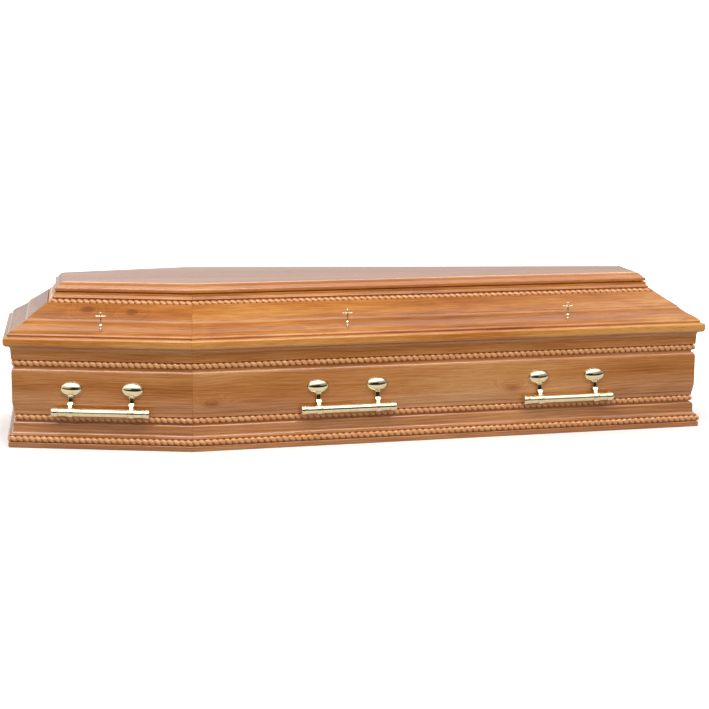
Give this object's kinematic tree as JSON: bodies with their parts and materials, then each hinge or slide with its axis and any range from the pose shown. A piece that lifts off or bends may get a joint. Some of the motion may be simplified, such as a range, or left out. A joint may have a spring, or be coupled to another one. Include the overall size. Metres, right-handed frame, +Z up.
{
  "type": "wooden coffin",
  "caption": "Six-sided varnished wooden coffin, widest at the shoulders, with a raised moulded lid, rope mouldings, brass swing-bar handles and cross-headed lid screws.",
  "frame": {"origin": "centre of the coffin's footprint, on the floor under the base mouldings", "axes": "+X from the head end to the foot end, -Y out of the right-hand side that the picture shows, +Z up; symmetric about the XZ plane"},
  "size_m": [1.9912, 0.7216, 0.4386],
  "materials": {
    "varnished_oak": "orange-brown oak under a glossy clear varnish",
    "carved_oak": "carved rope moulding, the same glossy varnish over slightly lighter wood",
    "polished_brass": "pale polished and lacquered brass"
  },
  "bodies": {
    "coffin": {"base_moulding_foot_end": "varnished_oak", "base_moulding_head_end": "varnished_oak", "base_moulding_left_shoulder": "varnished_oak", "base_moulding_left_side": "varnished_oak", "base_moulding_right_shoulder": "varnished_oak", "base_moulding_right_side": "varnished_oak", "floor_board": "varnished_oak", "left_foot_lid_screw": "polished_brass", "left_foot_rosette_a": "polished_brass", "left_foot_rosette_b": "polished_brass", "left_head_lid_screw": "polished_brass", "left_head_rosette_a": "polished_brass", "left_head_rosette_b": "polished_brass", "left_middle_lid_screw": "polished_brass", "left_middle_rosette_a": "polished_brass", "left_middle_rosette_b": "polished_brass", "lid_moulding_foot_end": "varnished_oak", "lid_moulding_head_end": "varnished_oak", "lid_moulding_left_shoulder": "varnished_oak", "lid_moulding_left_side": "varnished_oak", "lid_moulding_right_shoulder": "varnished_oak", "lid_moulding_right_side": "varnished_oak", "lid_top_board": "varnished_oak", "right_foot_lid_screw": "polished_brass", "right_foot_rosette_a": "polished_brass", "right_foot_rosette_b": "polished_brass", "right_head_lid_screw": "polished_brass", "right_head_rosette_a": "polished_brass", "right_head_rosette_b": "polished_brass", "right_middle_lid_screw": "polished_brass", "right_middle_rosette_a": "polished_brass", "right_middle_rosette_b": "polished_brass", "rope_moulding_base": "carved_oak", "rope_moulding_lid": "carved_oak", "rope_moulding_middle": "carved_oak", "rope_moulding_upper": "carved_oak", "wall_foot_end": "varnished_oak", "wall_head_end": "varnished_oak", "wall_left_shoulder": "varnished_oak", "wall_left_side": "varnished_oak", "wall_right_shoulder": "varnished_oak", "wall_right_side": "varnished_oak"},
    "right_head_handle": {"right_head_arm_a": "polished_brass", "right_head_arm_b": "polished_brass", "right_head_bar": "polished_brass"},
    "right_middle_handle": {"right_middle_arm_a": "polished_brass", "right_middle_arm_b": "polished_brass", "right_middle_bar": "polished_brass"},
    "right_foot_handle": {"right_foot_arm_a": "polished_brass", "right_foot_arm_b": "polished_brass", "right_foot_bar": "polished_brass"},
    "left_head_handle": {"left_head_arm_a": "polished_brass", "left_head_arm_b": "polished_brass", "left_head_bar": "polished_brass"},
    "left_middle_handle": {"left_middle_arm_a": "polished_brass", "left_middle_arm_b": "polished_brass", "left_middle_bar": "polished_brass"},
    "left_foot_handle": {"left_foot_arm_a": "polished_brass", "left_foot_arm_b": "polished_brass", "left_foot_bar": "polished_brass"}
  },
  "joints": [
    {"name": "right_head_handle_swing", "type": "hinge", "parent": "coffin", "child": "right_head_handle", "pos_m": [-0.73555, -0.28511, 0.1468], "axis": [-0.9694, 0.2454, 0], "range_deg": [0, 90]},
    {"name": "right_middle_handle_swing", "type": "hinge", "parent": "coffin", "child": "right_middle_handle", "pos_m": [-0.0632, -0.30724, 0.1468], "axis": [-0.9959, -0.0906, 0], "range_deg": [0, 90]},
    {"name": "right_foot_handle_swing", "type": "hinge", "parent": "coffin", "child": "right_foot_handle", "pos_m": [0.57921, -0.24882, 0.1468], "axis": [-0.9959, -0.0906, 0], "range_deg": [0, 90]},
    {"name": "left_head_handle_swing", "type": "hinge", "parent": "coffin", "child": "left_head_handle", "pos_m": [-0.73555, 0.28511, 0.1468], "axis": [0.9694, 0.2454, 0], "range_deg": [0, 90]},
    {"name": "left_middle_handle_swing", "type": "hinge", "parent": "coffin", "child": "left_middle_handle", "pos_m": [-0.0632, 0.30724, 0.1468], "axis": [0.9959, -0.0906, 0], "range_deg": [0, 90]},
    {"name": "left_foot_handle_swing", "type": "hinge", "parent": "coffin", "child": "left_foot_handle", "pos_m": [0.57921, 0.24882, 0.1468], "axis": [0.9959, -0.0906, 0], "range_deg": [0, 90]}
  ]
}
